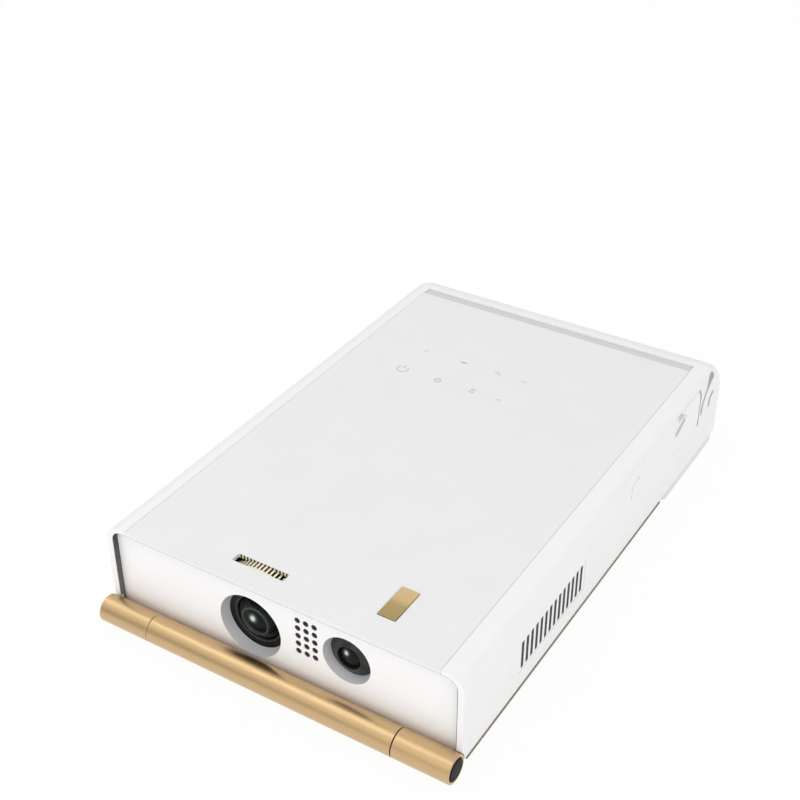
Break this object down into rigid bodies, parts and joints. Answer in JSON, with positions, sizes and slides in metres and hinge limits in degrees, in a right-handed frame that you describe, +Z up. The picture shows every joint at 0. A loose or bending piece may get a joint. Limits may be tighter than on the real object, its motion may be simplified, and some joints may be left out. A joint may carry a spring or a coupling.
{
  "type": "portable projector with disc drive",
  "caption": "Flat white projector with a slim side-opening disc tray, recessed twin-lens front panel, gold focus ring, gold hinge barrel, fold-out stand plate, side vent and port cover.",
  "frame": {"origin": "on the resting surface, under the middle of the whole object's box", "axes": "+Z up, -Y out of the lens panel, +X to the right seen from the front"},
  "size_m": [0.1507, 0.2407, 0.0424],
  "materials": {
    "shell_white": "satin white moulded plastic, fine texture",
    "deck_white": "matte white moulded plastic",
    "panel_white": "glossy white plastic",
    "gold_satin": "satin anodised gold aluminium",
    "gold_bright": "bright anodised gold aluminium",
    "black_plastic": "matte black plastic",
    "lens_black": "black anodised, fine rings",
    "lens_glass": "coated optical glass",
    "strip_grey": "grey plastic",
    "cast_dark": "die cast, dark",
    "bright_steel": "zinc plated sheet steel",
    "fin_aluminium": "bare aluminium",
    "pipe_copper": "bare copper",
    "board_green": "solder mask",
    "cell_wrap": "heat shrink wrap",
    "pad_rubber": "rubber",
    "socket_steel": "plated steel"
  },
  "bodies": {
    "housing": {"main_shell": "shell_white", "top_plate": "deck_white", "accent_plate": "gold_satin", "bottom_cover": "shell_white", "front_panel": "panel_white", "lens_bezel": "black_plastic", "camera_module": "black_plastic", "camera_barrel": "lens_black", "camera_lens": "lens_glass", "sensor_board": "board_green", "rear_strip": "strip_grey", "vent_grille": "shell_white", "intake_grille": "shell_white", "rear_foot": "shell_white", "foot_pads": "pad_rubber", "cover_screws": "bright_steel", "hinge_knuckles": "gold_satin", "hinge_pins": "bright_steel", "hinge_caps": "black_plastic", "lens_mount": "cast_dark", "light_engine": "cast_dark", "heat_pipes": "pipe_copper", "lamp_heatsink": "fin_aluminium", "blower_housing": "black_plastic", "driver_board": "board_green", "mid_frame": "fin_aluminium", "main_board": "board_green", "battery_pack": "cell_wrap", "touch_board": "board_green", "speaker_left": "black_plastic", "speaker_right": "black_plastic", "port_board": "board_green", "hdmi_socket": "socket_steel", "usb_socket": "socket_steel", "dc_socket": "black_plastic", "audio_socket": "black_plastic", "drive_chassis": "bright_steel", "button_switch": "black_plastic", "sound_inserts": "strip_grey"},
    "stand": {"stand_barrel": "gold_satin", "stand_plate": "gold_satin", "stand_pads": "pad_rubber"},
    "focus": {"focus_ring": "gold_bright"},
    "lens": {"lens_barrel": "lens_black", "front_lens": "lens_glass"},
    "impeller": {"blower_impeller": "black_plastic"},
    "tray": {"disc_tray": "black_plastic", "tray_bezel": "shell_white", "mech_frame": "bright_steel", "spindle_motor": "bright_steel", "guide_rods": "bright_steel", "feed_motor": "bright_steel"},
    "rails": {"tray_rails": "bright_steel"},
    "spindle": {"spindle_hub": "black_plastic"},
    "sled": {"pickup_sled": "black_plastic"},
    "feed": {"feed_screw": "bright_steel"},
    "eject": {"eject_button": "shell_white"},
    "button": {"side_button": "shell_white"},
    "cover": {"port_cover": "shell_white"}
  },
  "joints": [
    {"name": "stand_fold", "type": "hinge", "parent": "housing", "child": "stand", "pos_m": [0, -0.11495, 0.0055], "axis": [-1, 0, 0], "range_deg": [0, 150]},
    {"name": "focus_turn", "type": "hinge", "parent": "housing", "child": "focus", "pos_m": [-0.0128, -0.10075, 0.0207], "axis": [0, 1, 0], "range_deg": [-20.1, 20.1]},
    {"name": "lens_travel", "type": "slide", "parent": "housing", "child": "lens", "axis": [0, 1, 0], "range_m": [-0.0008, 0.0008]},
    {"name": "impeller_spin", "type": "hinge", "parent": "housing", "child": "impeller", "pos_m": [0.0341, -0.05825, 0.012], "axis": [0, 0, 1], "continuous": true},
    {"name": "tray_slide", "type": "slide", "parent": "housing", "child": "tray", "axis": [-1, 0, 0], "range_m": [0, 0.118]},
    {"name": "rail_slide", "type": "slide", "parent": "housing", "child": "rails", "axis": [-1, 0, 0], "range_m": [0, 0.059]},
    {"name": "spindle_spin", "type": "hinge", "parent": "tray", "child": "spindle", "pos_m": [-0.0076, 0.03005, 0.014], "axis": [0, 0, 1], "continuous": true},
    {"name": "sled_slide", "type": "slide", "parent": "tray", "child": "sled", "axis": [1, 0, 0], "range_m": [0, 0.031]},
    {"name": "screw_spin", "type": "hinge", "parent": "tray", "child": "feed", "pos_m": [0.02, 0.00605, 0.0114], "axis": [1, 0, 0], "range_deg": [0, 3730]},
    {"name": "eject_press", "type": "slide", "parent": "tray", "child": "eject", "axis": [1, 0, 0], "range_m": [0, 0.0008], "stiffness_N_per_m": 400},
    {"name": "button_press", "type": "slide", "parent": "housing", "child": "button", "axis": [-1, 0, 0], "range_m": [0, 0.0007], "stiffness_N_per_m": 500},
    {"name": "cover_swing", "type": "hinge", "parent": "housing", "child": "cover", "pos_m": [0.0739, 0.09015, 0.03], "axis": [0, 0, 1], "range_deg": [0, 100]}
  ],
  "couplings": [
    {"joint": "focus_turn", "follows": "lens_travel", "rad_per_m": 436.33},
    {"joint": "rail_slide", "follows": "tray_slide", "ratio": 0.5},
    {"joint": "screw_spin", "follows": "sled_slide", "rad_per_m": 2094.4}
  ]
}
